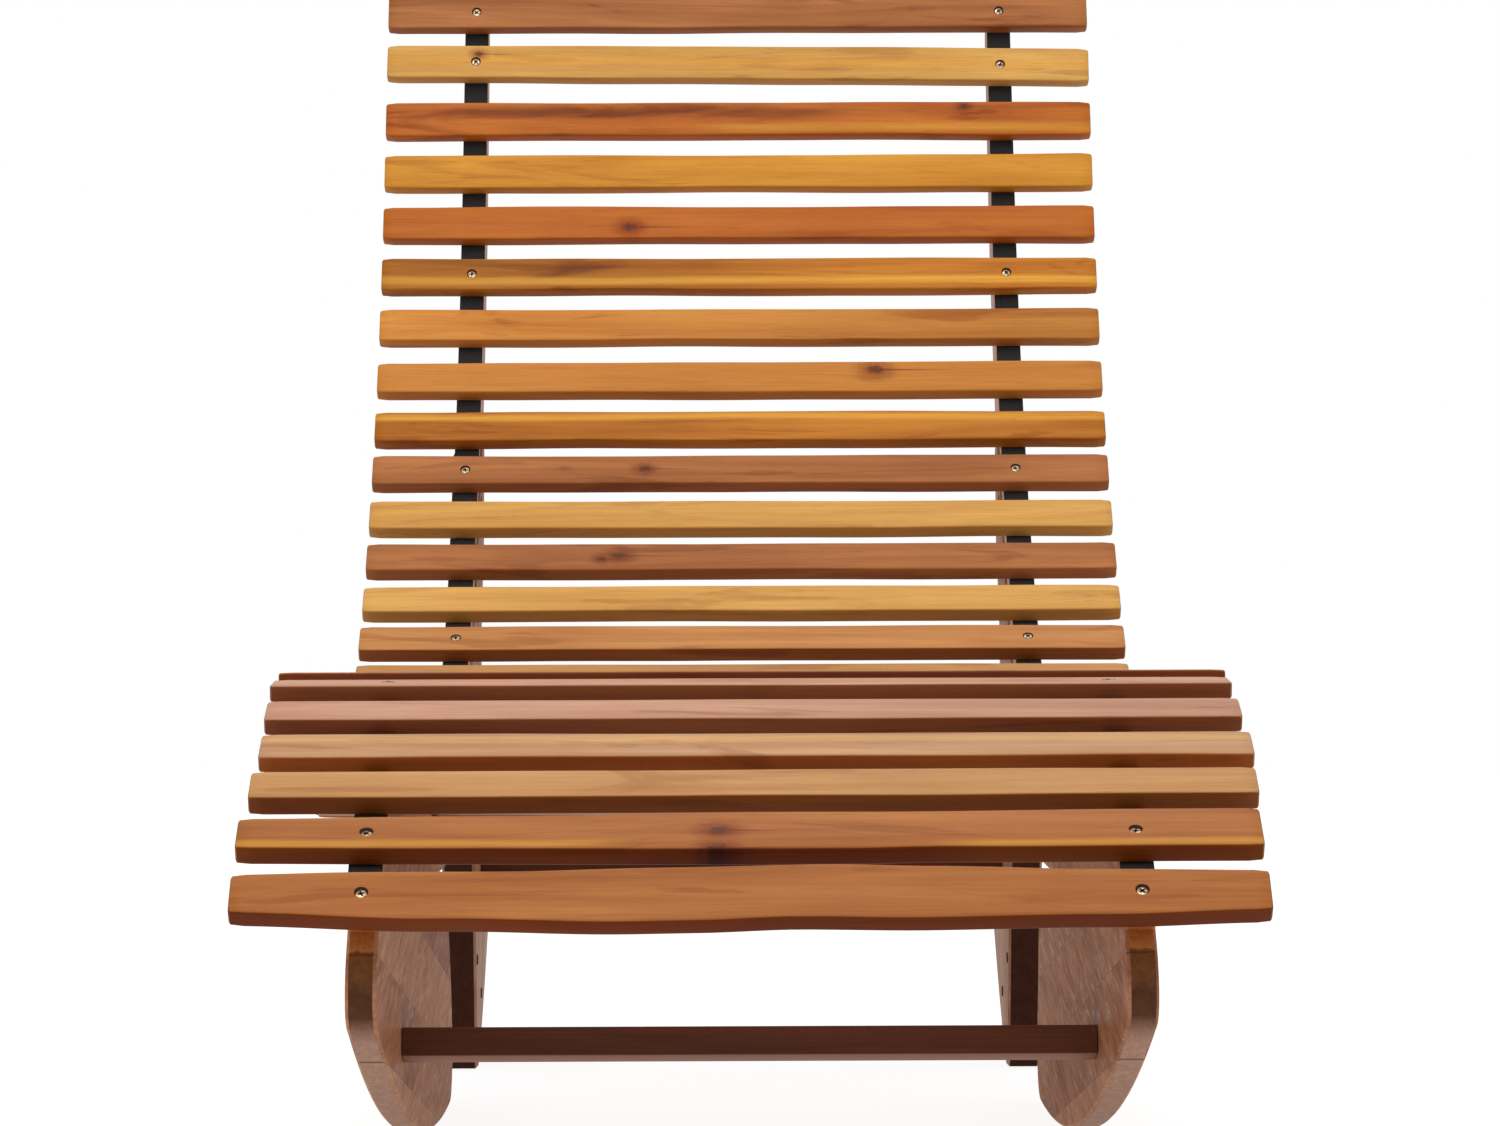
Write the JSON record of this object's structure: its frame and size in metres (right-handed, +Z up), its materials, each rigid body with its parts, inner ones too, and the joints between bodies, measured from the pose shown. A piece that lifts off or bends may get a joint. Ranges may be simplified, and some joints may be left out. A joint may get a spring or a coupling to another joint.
{
  "type": "rocking chaise lounge",
  "caption": "Long wooden rocking lounger: spaced cross slats on two webbing straps, carried by two curved side frames with rocker panels in front and broad feet behind.",
  "frame": {"origin": "on the ground, below the centre of the whole lounge's box", "axes": "+Z up, +Y from the foot end towards the head end, +X to the right of someone who looks from the foot end"},
  "size_m": [0.6, 1.4488, 0.9081],
  "materials": {
    "slat_wood": "oiled hardwood with a soft sheen, each slat of its own tone",
    "frame_wood": "glued-up oiled hardwood boards",
    "webbing": "black woven webbing",
    "bolt_steel": "zinc-plated steel, satin",
    "screw_metal": "yellow-plated steel, satin"
  },
  "bodies": {
    "root": {"slat_01": "slat_wood", "slat_02": "slat_wood", "slat_03": "slat_wood", "slat_04": "slat_wood", "slat_05": "slat_wood", "slat_06": "slat_wood", "slat_07": "slat_wood", "slat_08": "slat_wood", "slat_09": "slat_wood", "slat_10": "slat_wood", "slat_11": "slat_wood", "slat_12": "slat_wood", "slat_13": "slat_wood", "slat_14": "slat_wood", "slat_15": "slat_wood", "slat_16": "slat_wood", "slat_17": "slat_wood", "slat_18": "slat_wood", "slat_19": "slat_wood", "slat_20": "slat_wood", "slat_21": "slat_wood", "slat_22": "slat_wood", "slat_23": "slat_wood", "slat_24": "slat_wood", "slat_25": "slat_wood", "slat_26": "slat_wood", "slat_27": "slat_wood", "slat_28": "slat_wood", "slat_29": "slat_wood", "slat_30": "slat_wood", "slat_31": "slat_wood", "slat_32": "slat_wood", "slat_33": "slat_wood", "slat_34": "slat_wood", "slat_35": "slat_wood", "strap_left": "webbing", "strap_right": "webbing", "front_rocker_left": "frame_wood", "front_rocker_right": "frame_wood", "back_rail_left": "frame_wood", "back_rail_right": "frame_wood", "rear_foot_left": "frame_wood", "rear_foot_right": "frame_wood", "front_stretcher": "frame_wood", "rear_stretcher": "frame_wood", "frame_bolt_left_1": "bolt_steel", "frame_bolt_left_2": "bolt_steel", "frame_bolt_left_3": "bolt_steel", "frame_bolt_left_4": "bolt_steel", "frame_bolt_right_1": "bolt_steel", "frame_bolt_right_2": "bolt_steel", "frame_bolt_right_3": "bolt_steel", "frame_bolt_right_4": "bolt_steel", "front_stretcher_bolt_left": "bolt_steel", "front_stretcher_bolt_right": "bolt_steel", "rear_stretcher_bolt_left": "bolt_steel", "rear_stretcher_bolt_right": "bolt_steel"}
  },
  "joints": []
}
